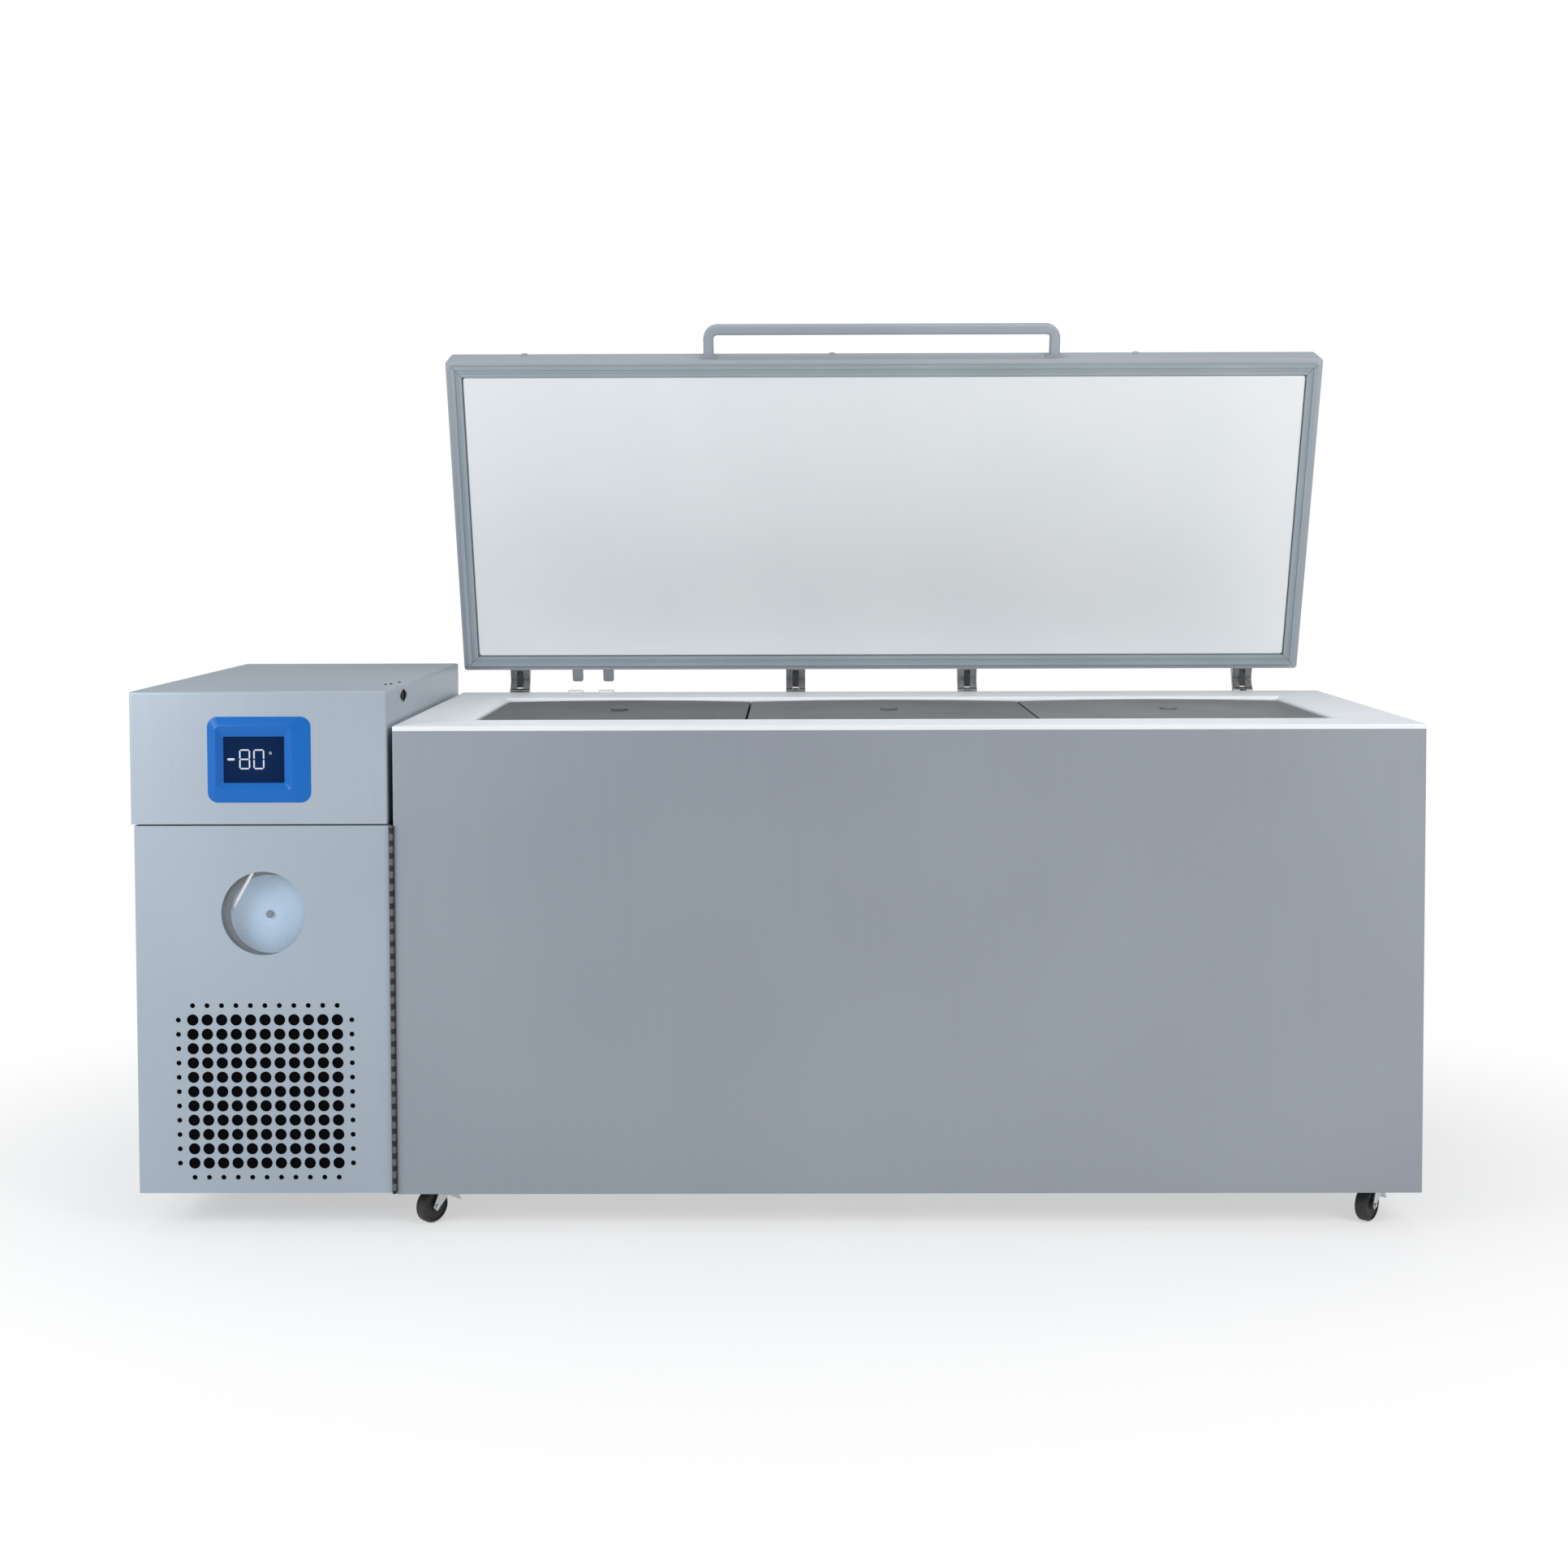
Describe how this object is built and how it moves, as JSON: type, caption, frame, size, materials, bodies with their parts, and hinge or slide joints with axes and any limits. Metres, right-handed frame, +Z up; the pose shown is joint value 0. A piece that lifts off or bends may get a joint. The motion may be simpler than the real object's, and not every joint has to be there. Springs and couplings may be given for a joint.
{
  "type": "ultra low temperature chest freezer",
  "caption": "Long insulated chest with a hinged top lid on a sealed rim, inner lids over a deep tank, and an end cabinet with a display, chart recorder and perforated intake door.",
  "frame": {"origin": "centre of the footprint box, on the floor", "axes": "+X along the chest to the right seen from the front, +Y from front to back, +Z up"},
  "size_m": [2.4584, 0.883, 1.7946],
  "materials": {
    "silver_paint": "satin silver-grey paint with a fine vertical grain",
    "galvanised": "galvanised sheet",
    "stainless": "brushed stainless sheet",
    "foam": "rigid polyurethane foam",
    "white_plastic": "moulded white plastic, fine satin",
    "copper": "bare copper tube",
    "grey_rubber": "grey extruded seal",
    "grey_plastic": "grey moulded plastic",
    "dark_grey_plastic": "dark grey moulded plastic",
    "black_plastic": "black moulded plastic",
    "hinge_steel": "dark coated steel",
    "blue_plastic": "blue moulded bezel",
    "screen_glass": "dark navy display",
    "clear_glass": "clear window",
    "filter_foam": "black open foam",
    "chart_paper": "printed chart paper",
    "pen_steel": "bright pen arm",
    "black_paint": "black enamel",
    "fin_aluminium": "bare fins",
    "zinc": "bright zinc plate",
    "tyre_black": "black rubber tread",
    "lock_black": "black chrome lock"
  },
  "bodies": {
    "cabinet": {"chest_case": "silver_paint", "chest_back_panel": "galvanised", "chest_base_pan": "galvanised", "liner_tank": "stainless", "collar": "white_plastic", "evaporator_tube": "copper", "chest_insulation": "foam", "access_port": "white_plastic", "lid_sensors": "dark_grey_plastic", "hinge_chest_leaves": "hinge_steel", "cabinet_base_pan": "silver_paint", "cabinet_side_panel": "silver_paint", "cabinet_back_panel": "silver_paint", "hood_shell": "silver_paint", "display_bezel": "blue_plastic", "touch_screen": "screen_glass", "control_box": "galvanised", "piano_hinge_leaf": "zinc", "compressor_first_stage": "black_paint", "compressor_second_stage": "black_paint", "condenser": "fin_aluminium", "fan_shroud": "galvanised", "fan_motor": "black_paint", "refrigerant_pipes": "copper", "filter_drier": "copper", "power_inlet": "black_plastic", "caster_plates": "zinc"},
    "lid": {"lid_shell": "silver_paint", "lid_foam": "foam", "lid_inner_panel": "white_plastic", "lid_gasket": "grey_rubber", "lid_handle": "grey_plastic", "lid_plugs": "grey_plastic", "lid_magnets": "grey_plastic", "hinge_lid_leaves": "hinge_steel"},
    "door": {"service_door": "silver_paint", "window_glass": "clear_glass", "recorder_housing": "grey_plastic", "filter_frame": "black_plastic", "air_filter": "filter_foam", "door_hinge_leaf": "zinc"},
    "chart": {"chart_disc": "chart_paper", "chart_hub": "grey_plastic"},
    "pen": {"pen_arm": "pen_steel"},
    "fan": {"fan_rotor": "fin_aluminium"},
    "rocker": {"power_switch": "black_plastic"},
    "lock": {"key_lock": "lock_black"},
    "left_cover": {"inner_lid_left": "dark_grey_plastic"},
    "middle_cover": {"inner_lid_middle": "dark_grey_plastic"},
    "right_cover": {"inner_lid_right": "dark_grey_plastic"},
    "front_left_fork": {"caster_fork_front_left": "zinc"},
    "front_left_wheel": {"caster_wheel_front_left": "tyre_black"},
    "front_right_fork": {"caster_fork_front_right": "zinc"},
    "front_right_wheel": {"caster_wheel_front_right": "tyre_black"},
    "rear_left_fork": {"caster_fork_rear_left": "zinc"},
    "rear_left_wheel": {"caster_wheel_rear_left": "tyre_black"},
    "rear_right_fork": {"caster_fork_rear_right": "zinc"},
    "rear_right_wheel": {"caster_wheel_rear_right": "tyre_black"},
    "front_left_brake": {"caster_brake_front_left": "zinc"},
    "front_right_brake": {"caster_brake_front_right": "zinc"}
  },
  "joints": [
    {"name": "lid_hinge", "type": "hinge", "parent": "cabinet", "child": "lid", "pos_m": [0.22875, 0.37506, 0.9684], "axis": [-1, 0, 0], "range_deg": [-73, 7]},
    {"name": "door_hinge", "type": "hinge", "parent": "cabinet", "child": "door", "pos_m": [-0.73325, -0.43654, 0.43], "axis": [0, 0, 1], "range_deg": [0, 95]},
    {"name": "chart_spin", "type": "hinge", "parent": "door", "child": "chart", "pos_m": [-0.97915, -0.38154, 0.605], "axis": [0, -1, 0], "continuous": true},
    {"name": "pen_swing", "type": "hinge", "parent": "door", "child": "pen", "pos_m": [-1.00215, -0.38154, 0.701], "axis": [0, -1, 0], "range_deg": [-2, 22]},
    {"name": "fan_spin", "type": "hinge", "parent": "cabinet", "child": "fan", "pos_m": [-0.977, -0.26554, 0.2585], "axis": [0, 1, 0], "continuous": true},
    {"name": "power_rocker", "type": "hinge", "parent": "cabinet", "child": "rocker", "pos_m": [-1.06325, 0.34346, 0.726], "axis": [1, 0, 0], "range_deg": [-14, 0]},
    {"name": "key_turn", "type": "hinge", "parent": "cabinet", "child": "lock", "pos_m": [-0.74075, -0.27454, 1.018], "axis": [1, 0, 0], "range_deg": [0, 90]},
    {"name": "left_cover_lift", "type": "slide", "parent": "cabinet", "child": "left_cover", "axis": [0, 0, 1], "range_m": [0, 0.12]},
    {"name": "middle_cover_lift", "type": "slide", "parent": "cabinet", "child": "middle_cover", "axis": [0, 0, 1], "range_m": [0, 0.12]},
    {"name": "right_cover_lift", "type": "slide", "parent": "cabinet", "child": "right_cover", "axis": [0, 0, 1], "range_m": [0, 0.12]},
    {"name": "front_left_swivel", "type": "hinge", "parent": "cabinet", "child": "front_left_fork", "pos_m": [-0.65875, -0.35254, 0.066], "axis": [0, 0, 1], "continuous": true},
    {"name": "front_left_wheel_spin", "type": "hinge", "parent": "front_left_fork", "child": "front_left_wheel", "pos_m": [-0.67482, -0.37169, 0.0325], "axis": [0.766, -0.6428, 0], "continuous": true},
    {"name": "front_right_swivel", "type": "hinge", "parent": "cabinet", "child": "front_right_fork", "pos_m": [1.15725, -0.35254, 0.066], "axis": [0, 0, 1], "continuous": true},
    {"name": "front_right_wheel_spin", "type": "hinge", "parent": "front_right_fork", "child": "front_right_wheel", "pos_m": [1.14118, -0.37169, 0.0325], "axis": [0.766, -0.6428, 0], "continuous": true},
    {"name": "rear_left_swivel", "type": "hinge", "parent": "cabinet", "child": "rear_left_fork", "pos_m": [-0.65875, 0.26746, 0.066], "axis": [0, 0, 1], "continuous": true},
    {"name": "rear_left_wheel_spin", "type": "hinge", "parent": "rear_left_fork", "child": "rear_left_wheel", "pos_m": [-0.6779, 0.28353, 0.0325], "axis": [-0.6428, -0.766, 0], "continuous": true},
    {"name": "rear_right_swivel", "type": "hinge", "parent": "cabinet", "child": "rear_right_fork", "pos_m": [1.15725, 0.26746, 0.066], "axis": [0, 0, 1], "continuous": true},
    {"name": "rear_right_wheel_spin", "type": "hinge", "parent": "rear_right_fork", "child": "rear_right_wheel", "pos_m": [1.14475, 0.28911, 0.0325], "axis": [-0.866, -0.5, 0], "continuous": true},
    {"name": "front_left_brake_press", "type": "hinge", "parent": "front_left_fork", "child": "front_left_brake", "pos_m": [-0.65168, -0.34412, 0.06], "axis": [0.766, -0.6428, 0], "range_deg": [-16, 0]},
    {"name": "front_right_brake_press", "type": "hinge", "parent": "front_right_fork", "child": "front_right_brake", "pos_m": [1.16432, -0.34412, 0.06], "axis": [0.766, -0.6428, 0], "range_deg": [-16, 0]}
  ]
}
